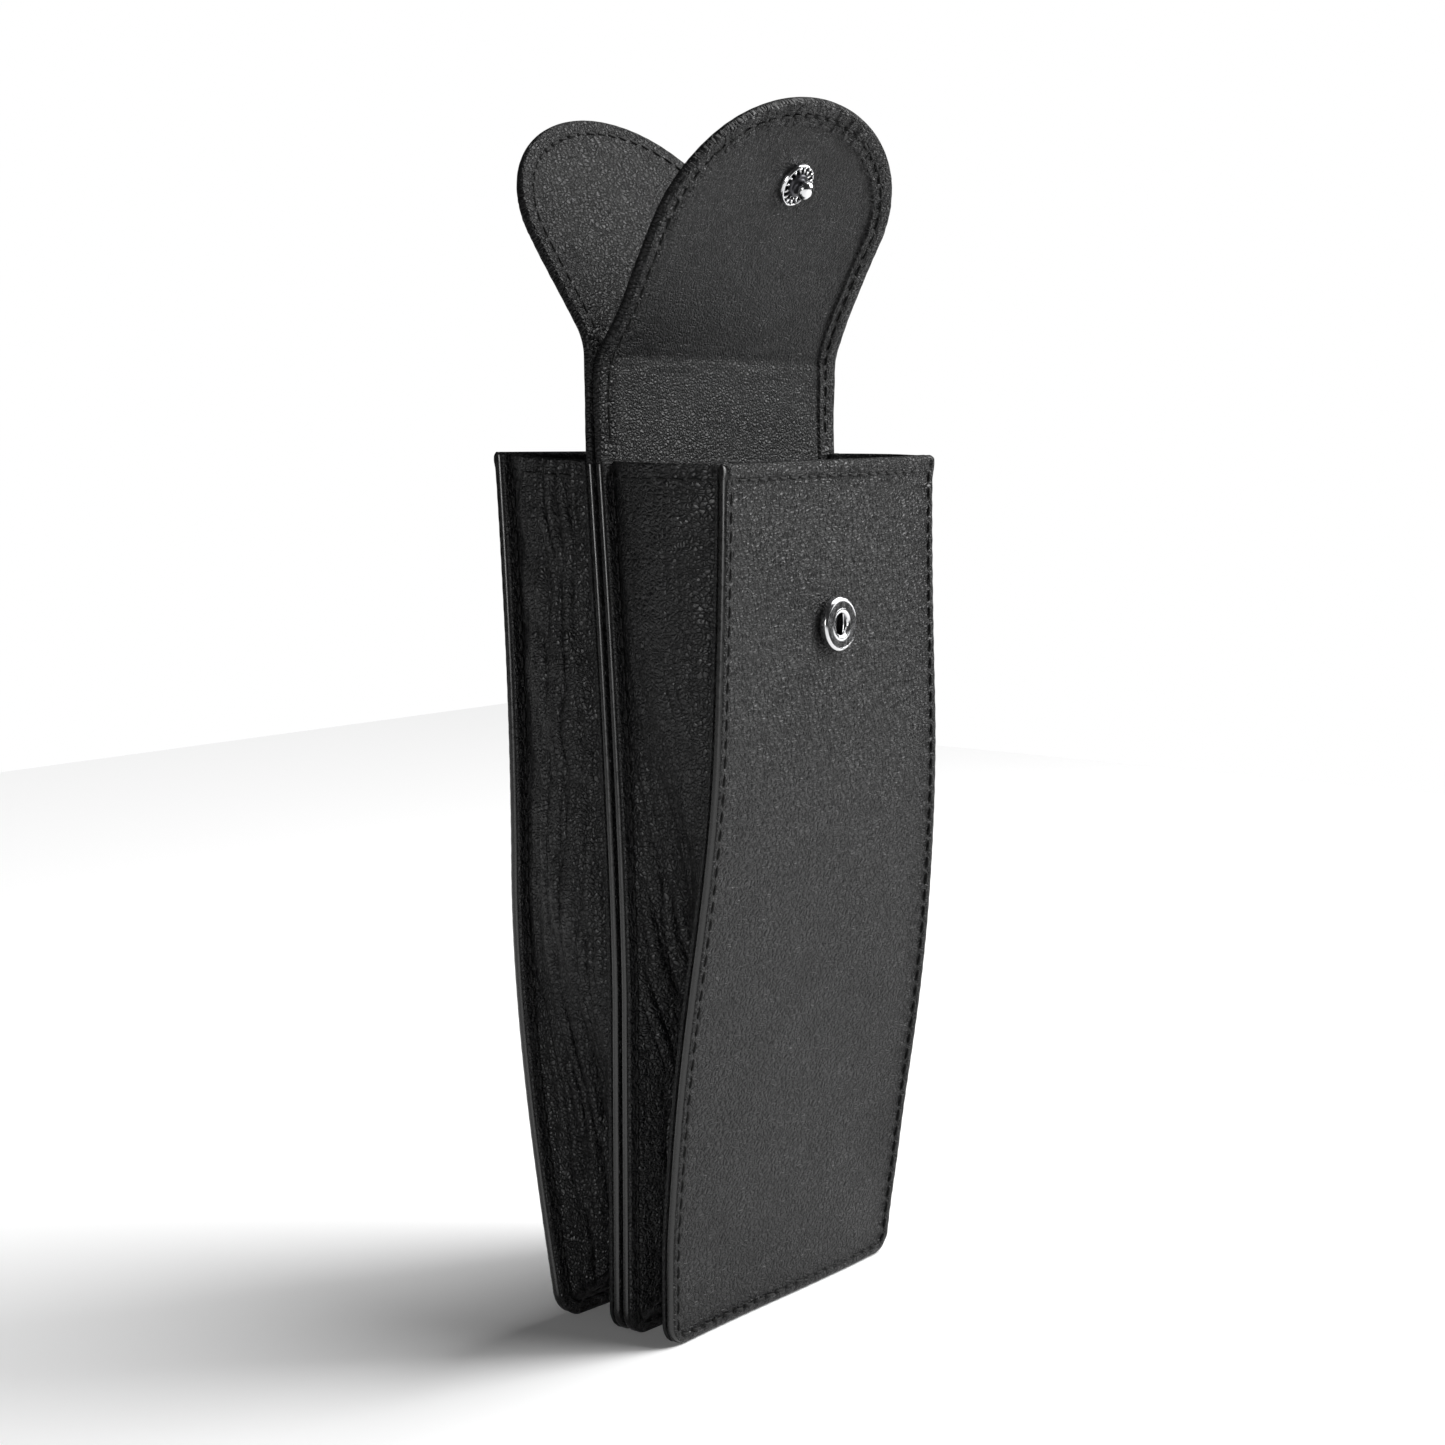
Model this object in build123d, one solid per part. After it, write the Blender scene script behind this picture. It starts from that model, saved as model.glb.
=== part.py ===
"""Soft double pouch for two pairs of glasses: two leather pouches sewn back to back, each with a snap flap.

X runs across the pouch, Y through its thickness (front pouch towards -Y) and Z up from the floor.
The origin is the middle of the footprint. All lengths are millimetres.
"""

import os
from math import cos, hypot, pi, radians, sin

from build123d import *

# pouch
POUCH_WIDTH = 80.0
POUCH_HEIGHT = 176.0
CORNER_RADIUS = 6.0
DEPTH_CENTRE = 6.3  # how far the middle of the whole depth lies behind the spine at the floor

# leather stack, outside to inside
LEATHER = 1.1
BOARD = 0.5
LINING = 0.4
SPINE_BOARD = 0.8
PLY_GAP = 0.02
BOARD_INSET = 1.5
SPINE_BOARD_INSET = 5.0
LINING_INSET = 0.3
WALL = LEATHER + BOARD + LINING + 2 * PLY_GAP

# bellows gusset between the front and the back of a pouch
GUSSET = 1.0
FLANGE = 4.5
GUSSET_PLAY = 0.2

# flaps
FOLD_HEIGHT = POUCH_HEIGHT + 0.8
FOLD_GAP = 0.3
NECK_INSET = 0.5  # the fold lies this far inside the pouch from the lining
NECK_LENGTH = 22.0
TONGUE_STRAIGHT = 24.0
TONGUE_LENGTH = 54.5
TONGUE_WIDTH = 76.0
FLAP = 2.0
HEM = 5.7
HEM_THICK = 1.0

# snap fastener
SOCKET_HEIGHT = 143.0
SOCKET_RADIUS = 5.5
SOCKET_DEPTH = 1.8
SOCKET_HOLE = 2.25
SOCKET_ROUNDING = 0.5
POST_RADIUS = 2.7
POST_CLEARANCE = 0.1
POST_TOP = SOCKET_DEPTH - 0.75
WASHER_RADIUS = 4.5
WASHER_THICK = 0.5
SPRING_WIRE = 0.14
SPRING_LENGTH = 1.5
STUD_AT = 36.5  # from the fold between neck and tongue
STUD_RADIUS = 5.0
STUD_BASE = 1.0
STUD_BORE = 0.95
STUD_LIFT = 0.02
NECK_RADIUS = 1.4
BALL_RADIUS = 1.95
BALL_TOP = STUD_BASE + 3.1
WINDOWS = 16
WINDOW_RADIUS = 0.35
WINDOW_CIRCLE = 3.5
SHANK_RADIUS = 0.9
SHANK_TOP = 4.0
RIVET_HEAD = 0.45

# sewing
STITCH = 2.7
STITCH_PITCH = 3.6
THREAD = 0.5
EDGE_TO_SEAM = 2.4
MOUTH_SEAM = 3.0
MOUTH_SEAM_END = 5.0  # from the side edges
SEAM_GAP = 0.08
SEAM_TO_FOLD = 3.5
NECK_SEAM_START = 1.0

HEIGHTS = [POUCH_HEIGHT * i / 8 for i in range(9)]
FRONT, REAR = -1, 1
NECK_LEAN = {FRONT: 0.5, REAR: 2.0}
TONGUE_LEAN = {FRONT: 28.5, REAR: 33.0}
SIDE_FOLD = {FRONT: (9.0, 4.0), REAR: (9.0, 3.0)}  # depth of the gusset's fold at the bottom and at the mouth
NAMES = {FRONT: "front", REAR: "rear"}


def ease(t):
    t = min(max(t, 0.0), 1.0)
    return t * t * (3 - 2 * t)


# ---------------------------------------------------------------- side profiles


def spine(z):
    """Middle surface between the two pouches: upright below, leaning back towards the mouth."""
    return 6.0 * max(0.0, (z - 70) / 106) ** 1.4 - DEPTH_CENTRE


def outer_face(side, z):
    """Outside face of a pouch's outer wall."""
    if side == FRONT:
        return -12.8 - 11.7 * ease((z + 8) / 132) - DEPTH_CENTRE
    bulge = 16 + 11.6 * sin(pi / 2 * min(z / 95, 1.0))
    return bulge + 3.9 * max(0.0, (z - 95) / 81) ** 1.5 - DEPTH_CENTRE


def back_face(side, z):
    """Inside face of a pouch's back wall, over its lining."""
    return spine(z) + side * (SPINE_BOARD / 2 + LEATHER + LINING + 2 * PLY_GAP)


def front_face(side, z):
    """Inside face of a pouch's outer wall, over its lining."""
    return outer_face(side, z) - side * WALL


# ---------------------------------------------------------------- shape helpers


def outline(inset, top=POUCH_HEIGHT):
    """Upright plate outline in XZ with round bottom corners, as a solid through the whole depth."""
    half = POUCH_WIDTH / 2 - inset
    radius = CORNER_RADIUS - inset
    with BuildSketch(Plane.XZ) as sketch:
        with BuildLine():
            Line((half, top), (-half, top))
            Line((-half, top), (-half, inset + radius))
            RadiusArc((-half, inset + radius), (-half + radius, inset), -radius)
            Line((-half + radius, inset), (half - radius, inset))
            RadiusArc((half - radius, inset), (half, inset + radius), -radius)
            Line((half, inset + radius), (half, top))
        make_face()
    return extrude(sketch.sketch, amount=60, both=True)


def slab(face, start, end):
    """Everything between two copies of a side profile moved by start and by end in Y."""
    low = [(face(z) + start, z) for z in HEIGHTS]
    high = [(face(z) + end, z) for z in HEIGHTS]
    with BuildSketch(Plane.YZ) as sketch:
        with BuildLine():
            Spline(low)
            Line(low[-1], high[-1])
            Spline(high)
            Line(high[0], low[0])
        make_face()
    return extrude(sketch.sketch, amount=POUCH_WIDTH, both=True)


def ply(face, start, end, inset=0.0, top=POUCH_HEIGHT):
    """One flat layer of a wall, following the wall's side profile."""
    return slab(face, start, end) & outline(inset, top)


def on_wall(side, z):
    """Plane on a pouch's outer wall at mid width, facing outwards."""
    slope = (outer_face(side, z + 1) - outer_face(side, z - 1)) / 2
    return Plane((0, outer_face(side, z), z), x_dir=(-side, 0, 0), z_dir=(0, side, -side * slope))


def turned(points):
    """Solid of revolution about Z of a closed outline in radius and height."""
    with BuildSketch(Plane.XZ) as sketch:
        with BuildLine():
            Polyline(*points, close=True)
        make_face()
    return revolve(sketch.sketch, Axis.Z)


def stitch_row(points, normals):
    """Stitches laid along a line of surface points, one per pitch."""
    stitches = []
    carried = STITCH_PITCH / 2
    for (a, b), n in zip(zip(points, points[1:]), normals):
        run = (b - a).length
        along = (b - a).normalized()
        while carried < run:
            centre = a + along * carried + n * (THREAD / 2 + SEAM_GAP)
            stitches.append(Plane(centre, x_dir=along, z_dir=n) * Box(STITCH, THREAD, THREAD))
            carried += STITCH_PITCH
        carried -= run
    return Compound(children=stitches)


def wall_seam(face, facing, lift):
    """Seam down one side of a wall, round the bottom and up the other side."""
    inset = EDGE_TO_SEAM
    half = POUCH_WIDTH / 2 - inset
    radius = CORNER_RADIUS - inset
    steps = 24
    high, low = POUCH_HEIGHT - 2, inset + radius
    flat = [(half, high - (high - low) * i / steps) for i in range(steps + 1)]
    for i in range(1, 7):
        turn = pi / 2 * i / 6
        flat.append((half - radius + radius * cos(turn), inset + radius - radius * sin(turn)))
    flat += [(-x, z) for x, z in reversed(flat)]
    points = [Vector(x, face(z) + lift, z) for x, z in flat]
    normals = []
    for a, b in zip(points, points[1:]):
        z = (a.Z + b.Z) / 2
        slope = (face(z + 1) - face(z - 1)) / 2
        normals.append(Vector(0, facing, -facing * slope).normalized())
    return stitch_row(points, normals)


# ---------------------------------------------------------------- pouch bodies


def back_leather(side):
    start = SPINE_BOARD / 2 + PLY_GAP
    return ply(spine, side * start, side * (start + LEATHER))


def back_lining(side):
    end = SPINE_BOARD / 2 + LEATHER + LINING + 2 * PLY_GAP
    return ply(spine, side * (end - LINING), side * end, inset=LINING_INSET)


def spine_board():
    """Stiff sheet glued between the two pouches, short of the edges."""
    return ply(spine, -SPINE_BOARD / 2, SPINE_BOARD / 2, inset=SPINE_BOARD_INSET, top=POUCH_HEIGHT - 4)


def fold_depth(side, z):
    low, high = SIDE_FOLD[side]
    return low + (high - low) * ease(z / 150)


def bellows(side, thickness):
    """Space enclosed by the gusset's folded strip, shrunk by a thickness."""
    sections = []
    for z in [FLANGE, 16, 32, 52, 76, 102, 132, 156, POUCH_HEIGHT]:
        back = back_face(side, z) + side * GUSSET / 2
        front = front_face(side, z) - side * (GUSSET_PLAY + GUSSET / 2)
        middle = (back + front) / 2
        slant = hypot(fold_depth(side, z), (front - back) / 2) / abs((front - back) / 2)
        half = POUCH_WIDTH / 2 - FLANGE - thickness * slant
        fold = half - fold_depth(side, z)
        corners = [
            (half, back, z), (fold, middle, z), (half, front, z),
            (-half, front, z), (-fold, middle, z), (-half, back, z),
        ]
        sections.append(make_face(Polyline(*corners, close=True)))
    space = loft(sections, ruled=True)
    back = back_face(side, FLANGE)
    front = front_face(side, FLANGE) - side * GUSSET_PLAY
    middle = (back + front) / 2
    rise = SIDE_FOLD[side][0]
    reach = (front - back) / 2
    slant = hypot(rise, reach) / abs(reach)
    foot = FLANGE + thickness * slant
    with BuildSketch(Plane.YZ) as tent:
        with BuildLine():
            Polyline(
                (middle - 2 * reach, foot - rise), (middle, foot + rise), (middle + 2 * reach, foot - rise),
                (middle + 2 * reach, -20), (middle - 2 * reach, -20), close=True,
            )
        make_face()
    return space - extrude(tent.sketch, amount=POUCH_WIDTH, both=True)


def gusset(side):
    """Bellows strip down both sides and under the bottom, with a sewing flange along each long edge."""
    strip = bellows(side, 0.0) - bellows(side, GUSSET)
    at_back = SPINE_BOARD / 2 + LEATHER + LINING + 2 * PLY_GAP
    at_front = -(WALL + GUSSET_PLAY)
    rim = outline(0.0) - outline(FLANGE + GUSSET)
    back_flange = slab(spine, side * (at_back + PLY_GAP), side * (at_back + GUSSET)) & rim
    front_flange = slab(lambda z: outer_face(side, z), side * (at_front - GUSSET), side * at_front) & rim
    return strip + back_flange + front_flange


def snap_hole(side):
    return on_wall(side, SOCKET_HEIGHT) * Cylinder(POST_RADIUS + POST_CLEARANCE, 12)


def panel_leather(side):
    return ply(lambda z: outer_face(side, z), 0, -side * LEATHER) - snap_hole(side)


def panel_board(side):
    start = LEATHER + PLY_GAP
    face = lambda z: outer_face(side, z)
    board = ply(face, -side * start, -side * (start + BOARD), inset=BOARD_INSET, top=POUCH_HEIGHT - 2)
    return board - snap_hole(side)


def panel_lining(side):
    start = LEATHER + BOARD + 2 * PLY_GAP
    face = lambda z: outer_face(side, z)
    return ply(face, -side * start, -side * (start + LINING), inset=LINING_INSET) - snap_hole(side)


def mouth_seam(side):
    z = POUCH_HEIGHT - MOUTH_SEAM
    y = outer_face(side, z)
    half = POUCH_WIDTH / 2 - MOUTH_SEAM_END
    return stitch_row([Vector(-half, y, z), Vector(half, y, z)], [Vector(0, side, 0)])


# ---------------------------------------------------------------- flaps


def neck_plane(side):
    """Plane on the neck's inner face at its fold, Y up the neck and Z towards the mouth side."""
    lean = radians(NECK_LEAN[side])
    origin = (0, back_face(side, POUCH_HEIGHT) + side * NECK_INSET, FOLD_HEIGHT)
    return Plane(origin, x_dir=(-side, 0, 0), z_dir=(0, side * cos(lean), -sin(lean)))


def tongue_plane(side):
    """Plane on the tongue's inner face at its fold, Y towards the tip and Z towards the mouth side."""
    lean = radians(TONGUE_LEAN[side])
    fold = neck_plane(side).from_local_coords((0, NECK_LENGTH, 0))
    return Plane(fold, x_dir=(-side, 0, 0), z_dir=(0, side * cos(lean), -sin(lean)))


def tongue_outline(inset, start):
    """Tongue with parallel sides and an elliptic end."""
    half = TONGUE_WIDTH / 2 - inset
    end = TONGUE_LENGTH - TONGUE_STRAIGHT - inset
    with BuildSketch() as sketch:
        with BuildLine():
            Line((-half, TONGUE_STRAIGHT), (-half, start))
            Line((-half, start), (half, start))
            Line((half, start), (half, TONGUE_STRAIGHT))
            EllipticalCenterArc((0, TONGUE_STRAIGHT), half, end, start_angle=0, arc_size=180)
        make_face()
    return sketch.sketch


def plate(sketch, low, high):
    return Pos(0, 0, low) * extrude(sketch, amount=high - low)


def neck_leather(side):
    """Neck with its side edges turned over onto the inner face."""
    start, end = FOLD_GAP / 2, NECK_LENGTH - FOLD_GAP / 2
    length = end - start
    whole = Pos(0, (start + end) / 2, -FLAP / 2) * Box(POUCH_WIDTH, length, FLAP)
    bed = Pos(0, (start + end) / 2, -HEM_THICK / 2) * Box(POUCH_WIDTH - 2 * HEM, length + 1, HEM_THICK)
    return neck_plane(side) * (whole - bed)


def neck_lining(side):
    start, end = FOLD_GAP / 2, NECK_LENGTH - FOLD_GAP / 2
    size = (POUCH_WIDTH - 2 * HEM - 0.2, end - start, HEM_THICK - 0.15)
    return neck_plane(side) * (Pos(0, (start + end) / 2, -HEM_THICK + PLY_GAP + size[2] / 2) * Box(*size))


def tongue_leather(side):
    """Tongue with its edge turned over onto the inner face as a hem."""
    start = FOLD_GAP / 2
    whole = plate(tongue_outline(0, start), -FLAP, 0)
    bed = plate(tongue_outline(HEM, start - 5), -HEM_THICK, 1)
    return tongue_plane(side) * (whole - bed)


def tongue_board(side):
    """Stiffener on the leather, with a round hole that the stud's rivet head sits in."""
    low = -HEM_THICK + PLY_GAP
    board = plate(tongue_outline(HEM + 0.1, FOLD_GAP / 2), low, low + BOARD)
    return tongue_plane(side) * (board - Pos(0, STUD_AT, 0) * Cylinder(WASHER_RADIUS + 0.1, 6))


def tongue_lining(side):
    low = -HEM_THICK + 2 * PLY_GAP + BOARD
    lining = plate(tongue_outline(HEM + 0.1, FOLD_GAP / 2), low, low + LINING)
    return tongue_plane(side) * (lining - Pos(0, STUD_AT, 0) * Cylinder(1.1, 6))


def flap_seam(plane, half, start, end):
    """Two straight rows of stitches beside the side edges of a flat piece of flap."""
    rows = []
    for x in (-half, half):
        rows += stitch_row([Vector(x, start, 0), Vector(x, end, 0)], [Vector(0, 0, 1)]).children
    return plane * Compound(children=list(rows))


def neck_seam(side):
    return flap_seam(neck_plane(side), POUCH_WIDTH / 2 - EDGE_TO_SEAM, NECK_SEAM_START, NECK_LENGTH - SEAM_TO_FOLD)


def tongue_seam(side):
    """One row of stitches round the tongue's hem."""
    half = TONGUE_WIDTH / 2 - EDGE_TO_SEAM
    end = TONGUE_LENGTH - TONGUE_STRAIGHT - EDGE_TO_SEAM
    steps = 32
    points = [Vector(half, SEAM_TO_FOLD, 0)]
    for i in range(steps + 1):
        turn = pi * i / steps
        points.append(Vector(half * cos(turn), TONGUE_STRAIGHT + end * sin(turn), 0))
    points.append(Vector(-half, SEAM_TO_FOLD, 0))
    return tongue_plane(side) * stitch_row(points, [Vector(0, 0, 1)] * (len(points) - 1))


# ---------------------------------------------------------------- snap fastener


def socket(side):
    """Round socket with a rolled rim standing on the outer wall."""
    r, d, edge = SOCKET_RADIUS, SOCKET_DEPTH, SOCKET_ROUNDING
    bore = POST_RADIUS + POST_CLEARANCE
    step = d - 0.7
    profile = [
        (bore, PLY_GAP), (r - edge, PLY_GAP), (r, edge), (r, d - edge), (r - edge, d),
        (SOCKET_HOLE + 0.6, d), (SOCKET_HOLE, d - 0.4), (SOCKET_HOLE, step), (bore, step),
    ]
    return on_wall(side, SOCKET_HEIGHT) * turned(profile)


def socket_post(side):
    """Tubular post of the socket, clinched over a washer inside the pouch."""
    inside = -WALL - PLY_GAP
    profile = [
        (SOCKET_HOLE, POST_TOP), (POST_RADIUS, POST_TOP), (POST_RADIUS, inside), (WASHER_RADIUS, inside),
        (WASHER_RADIUS, inside - WASHER_THICK), (SOCKET_HOLE, inside - WASHER_THICK),
    ]
    return on_wall(side, SOCKET_HEIGHT) * turned(profile)


def socket_spring(side):
    """Two spring wires beside the hole that grip behind the stud's ball."""
    wire = Cylinder(SPRING_WIRE, SPRING_LENGTH, rotation=(90, 0, 0))
    place = on_wall(side, SOCKET_HEIGHT) * Pos(0, 0, SOCKET_DEPTH - 0.9)
    reach = SOCKET_HOLE - 0.15
    return place * Compound(children=[Pos(x * reach, 0, 0) * wire for x in (-1, 1)])


def stud(side):
    """Stud with a flat ring of windows and a ball head."""
    r, b, top = STUD_RADIUS, STUD_BASE, BALL_TOP
    with BuildSketch(Plane.XZ) as sketch:
        with BuildLine():
            Polyline(
                (STUD_BORE, STUD_LIFT), (r, STUD_LIFT), (r, b / 2), (r - 0.6, b), (2.4, b),
                (NECK_RADIUS + 0.1, b + 0.2), (NECK_RADIUS, b + 1.0),
            )
            Spline((NECK_RADIUS, b + 1.0), (BALL_RADIUS, b + 1.9), (1.2, top - 0.1), (STUD_BORE, top))
            Line((STUD_BORE, top), (STUD_BORE, STUD_LIFT))
        make_face()
    body = revolve(sketch.sketch, Axis.Z)
    window = Pos(WINDOW_CIRCLE, 0, 1.4) * Cylinder(WINDOW_RADIUS, 2.0)
    windows = [Rot(0, 0, 360 / WINDOWS * i) * window for i in range(WINDOWS)]
    return tongue_plane(side) * Pos(0, STUD_AT, 0) * (body - Compound(children=windows))


def stud_rivet(side):
    """Rivet whose flat head is hidden under the leather and whose shank fills the stud."""
    low = -HEM_THICK + PLY_GAP
    high = low + RIVET_HEAD
    profile = [
        (0, low), (WASHER_RADIUS, low), (WASHER_RADIUS, high), (SHANK_RADIUS, high), (SHANK_RADIUS, SHANK_TOP),
        (0, SHANK_TOP),
    ]
    return tongue_plane(side) * Pos(0, STUD_AT, 0) * turned(profile)


# ---------------------------------------------------------------- parts


def pouch_parts(side):
    name = NAMES[side]
    back_in = SPINE_BOARD / 2 + LEATHER + LINING + GUSSET + 2 * PLY_GAP
    parts = {
        "back_leather": back_leather(side),
        "back_lining": back_lining(side),
        "gusset": gusset(side),
        "back_seam": wall_seam(spine, side, side * back_in),
        "panel_leather": panel_leather(side),
        "panel_board": panel_board(side),
        "panel_lining": panel_lining(side),
        "panel_seam": wall_seam(lambda z: outer_face(side, z), side, 0.0),
        "mouth_seam": mouth_seam(side),
        "socket": socket(side),
        "socket_post": socket_post(side),
        "socket_spring": socket_spring(side),
        "neck_leather": neck_leather(side),
        "neck_lining": neck_lining(side),
        "neck_seam": neck_seam(side),
        "tongue_leather": tongue_leather(side),
        "tongue_board": tongue_board(side),
        "tongue_lining": tongue_lining(side),
        "tongue_seam": tongue_seam(side),
        "stud": stud(side),
        "stud_rivet": stud_rivet(side),
    }
    return {f"{name}_{key}": shape for key, shape in parts.items()}


def main():
    os.makedirs("parts", exist_ok=True)
    parts = {"spine_board": spine_board()}
    for side in (FRONT, REAR):
        parts.update(pouch_parts(side))
    for name, shape in parts.items():
        export_step(shape, f"parts/{name}.step")


if __name__ == "__main__":
    main()
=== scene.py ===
"""Looks of a soft double glasses pouch: leather walls, bellows gussets, snap flaps and their sewing.

Shapes are worked out in millimetres in the frame's own axes and turned into metres in one place.
"""

import math

import bmesh
import bpy
import numpy as np
from mathutils import Matrix, Vector


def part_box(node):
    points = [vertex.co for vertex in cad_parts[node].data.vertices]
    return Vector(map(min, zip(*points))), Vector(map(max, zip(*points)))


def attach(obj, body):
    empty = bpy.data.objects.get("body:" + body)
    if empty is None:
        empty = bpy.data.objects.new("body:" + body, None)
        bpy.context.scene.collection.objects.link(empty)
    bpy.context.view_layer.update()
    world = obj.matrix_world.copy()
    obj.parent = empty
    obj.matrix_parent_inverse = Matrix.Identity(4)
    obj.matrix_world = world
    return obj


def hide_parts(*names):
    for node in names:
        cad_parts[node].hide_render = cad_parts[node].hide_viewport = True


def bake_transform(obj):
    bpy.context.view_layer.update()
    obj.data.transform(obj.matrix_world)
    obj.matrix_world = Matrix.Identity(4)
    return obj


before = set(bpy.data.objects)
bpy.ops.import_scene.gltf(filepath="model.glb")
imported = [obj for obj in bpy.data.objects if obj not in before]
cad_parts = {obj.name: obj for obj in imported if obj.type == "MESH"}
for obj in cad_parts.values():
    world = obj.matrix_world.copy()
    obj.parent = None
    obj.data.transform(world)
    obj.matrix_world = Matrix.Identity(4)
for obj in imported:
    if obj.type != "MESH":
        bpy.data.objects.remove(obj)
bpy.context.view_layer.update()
MM = 0.001

# --- sizes (mm)

FRONT, REAR = -1, 1
NAMES = {FRONT: "front", REAR: "rear"}
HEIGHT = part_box("front_panel_leather")[1][2] / MM
SPINE_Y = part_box("spine_board")[0][1] / MM + 0.4  # middle surface between the pouches at the floor
HALF_WIDTH = 39.4
SIDE_SHIFT = -0.6  # the soft case leans this far to its left
CORNER = 5.0  # radius of a wall's bottom corners

WALL = 1.9
SKIN = 1.6  # back leather
HEM_GAIN = 0.5  # a flap with its hem is this much thicker than the back leather
SKIN_MIDDLE = 1.24  # from the middle surface between the pouches to the middle of a back leather
GUSSET = 0.9
FLANGE = 3.2  # width of the gusset's sewn edges
STITCH_PITCH = 3.6
STITCH_LENGTH = 2.9
THREAD = 0.26  # radius
EDGE_SEAM = 2.1  # the seams' distances from the edges they follow
MOUTH_SEAM = 3.3
FLAP_SEAM = 3.4
HEM = 5.7  # width of the leather turned over a flap's edge
CAP_GAP = 0.004  # from a sheet's end to the corners of the flat face that closes it
CUT_EDGE = 0.3  # width of the burnished rim of cut leather
SPLIT = 11.0  # where the lower and upper leather of a flap meet, above the pouch's top edge
FLAP_BASE = 0.8  # the flap bends from this far above the pouch's top edge
FLAP_LENGTH = 76.5
FLAP_TOTAL = FLAP_BASE + FLAP_LENGTH
FLAP_HALF = {FRONT: 36.4, REAR: 38.4}
FLAP_STRAIGHT = {FRONT: FLAP_BASE + 49.0, REAR: FLAP_BASE + 47.4}
NECK = {FRONT: 19.5, REAR: 22.0}  # from the flap's base to its crease
CREASE = {side: FLAP_BASE + neck for side, neck in NECK.items()}
LEAN = {FRONT: (-3.5, 26.2, 30.5), REAR: (2.0, 36.9, 26.0)}  # degrees: neck, tongue, tip
BOW_TWIST_SHIFT = {FRONT: (2.35, 0.68, -2.3), REAR: (0.0, 1.9, -2.45)}  # of a flap's upper part
STUD_UP = 59.3  # along the flap from the pouch's top edge
STUD_X = {FRONT: 3.6, REAR: 2.2}  # on the flap, whose upper part is shifted the other way
SOCKET_Z = 143.0


# --- small maths


def ease(t):
    t = np.clip(t, 0.0, 1.0)
    return t * t * (3 - 2 * t)


def bump_at(x, centre, width):
    return np.exp(-(((x - centre) / width) ** 2))


def _lattice(i, j, k, seed):
    h = (i * 374761393 + j * 668265263 + k * 1103515245 + seed * 974634777) & 0xFFFFFFFF
    h = ((h ^ (h >> 13)) * 1274126177) & 0xFFFFFFFF
    return ((h ^ (h >> 16)) & 0xFFFF) / 32767.5 - 1.0


def noise(x, y, z=0.0, seed=1):
    """Smooth value noise between -1 and 1 on arrays."""
    x, y, z = np.broadcast_arrays(np.asarray(x, float), y, z)
    i, j, k = (np.floor(a).astype(np.int64) for a in (x, y, z))
    fx, fy, fz = (ease(a - b) for a, b in ((x, i), (y, j), (z, k)))
    total = 0.0
    for a in (0, 1):
        for b in (0, 1):
            for c in (0, 1):
                weight = (fx if a else 1 - fx) * (fy if b else 1 - fy) * (fz if c else 1 - fz)
                total = total + weight * _lattice(i + a, j + b, k + c, seed)
    return total


def creased(x, y, z=0.0, seed=1):
    """Noise with sharp valleys: -1 in them, and up to 1.6 between them."""
    return 2 * np.abs(noise(x, y, z, seed)) ** 0.8 * 1.3 - 1


def stack(*parts):
    """Arrays side by side along a new last axis."""
    return np.stack(parts, -1)


def unit(v):
    return v / np.maximum(np.linalg.norm(v, axis=-1, keepdims=True), 1e-9)


def arc_length(points):
    """Length along a line of points, from its first one."""
    return np.concatenate([[0], np.cumsum(np.linalg.norm(np.diff(points, axis=0), axis=1))])


# --- side profiles


def spine(z):
    """Middle surface between the two pouches, leaning back towards the mouth."""
    return 6.0 * np.maximum(0.0, (z - 70) / 106) ** 1.4 + SPINE_Y


def outer_face(side, x, z):
    """Y of a pouch's outer wall on its outside. The wall is a little turned about its own height."""
    across = x / HALF_WIDTH
    if side == FRONT:
        turn = 2.7 * ease((z - 72) / 100) - 1.2 * bump_at(z, 58, 30) + 1.1 * (1 - ease(z / 25))
        return -12.4 - 11.9 * ease((z + 8) / 132) + turn * across * np.abs(across) ** 0.7 + SPINE_Y
    bulge = 16 + 11.6 * np.sin(math.pi / 2 * np.minimum(z / 95, 1.0))
    flare = 3.9 * np.maximum(0.0, (z - 95) / 81) ** 1.5
    turn = 0.9 + 0.6 * ease((140 - z) / 60)
    return bulge + flare - turn * across + SPINE_Y


def mouth_rise(side, x, z):
    """How much higher the rear pouch's soft mouth stands, most of all at its left corner."""
    if side == FRONT:
        return np.zeros_like(x)
    return 1.3 * ease((z - 110) / 66) * (0.55 - 0.45 * x / HALF_WIDTH)


def wall_surface(side, x, z):
    """Middle of the outer wall's thickness and its outward normal."""
    from_side = HALF_WIDTH - np.abs(x)
    soft = 0.3 * noise(x / 26 + 3, z / 34, seed=side + 5) * ease(from_side / 16)
    pulls = 0.18 * noise(x / 7, z / 30, seed=side + 8) * ease((z - 150) / 24)
    soft = soft + pulls * ease(from_side / 6)
    step = 0.5
    slope_x = (outer_face(side, x + step, z) - outer_face(side, x - step, z)) / (2 * step)
    slope_z = (outer_face(side, x, z + step) - outer_face(side, x, z - step)) / (2 * step)
    normal = unit(stack(-side * slope_x, side * np.ones_like(x), -side * slope_z))
    y = outer_face(side, x, z) + soft * side
    surface = stack(x + SIDE_SHIFT, y, z + mouth_rise(side, x, z))
    return surface - normal * WALL / 2, normal


def flap_lean(side, v):
    """Angle from upright, in radians, towards the pouch's own side, v millimetres up from the mouth."""
    w = v - FLAP_BASE
    neck, low, high = LEAN[side]
    bent = ease((w - NECK[side] + 4.5) / 9)
    tongue = low + (high - low) * np.clip((w - NECK[side]) / (FLAP_LENGTH - NECK[side]), 0, 1)
    return np.radians(neck * (1 - bent) + tongue * bent)


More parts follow.
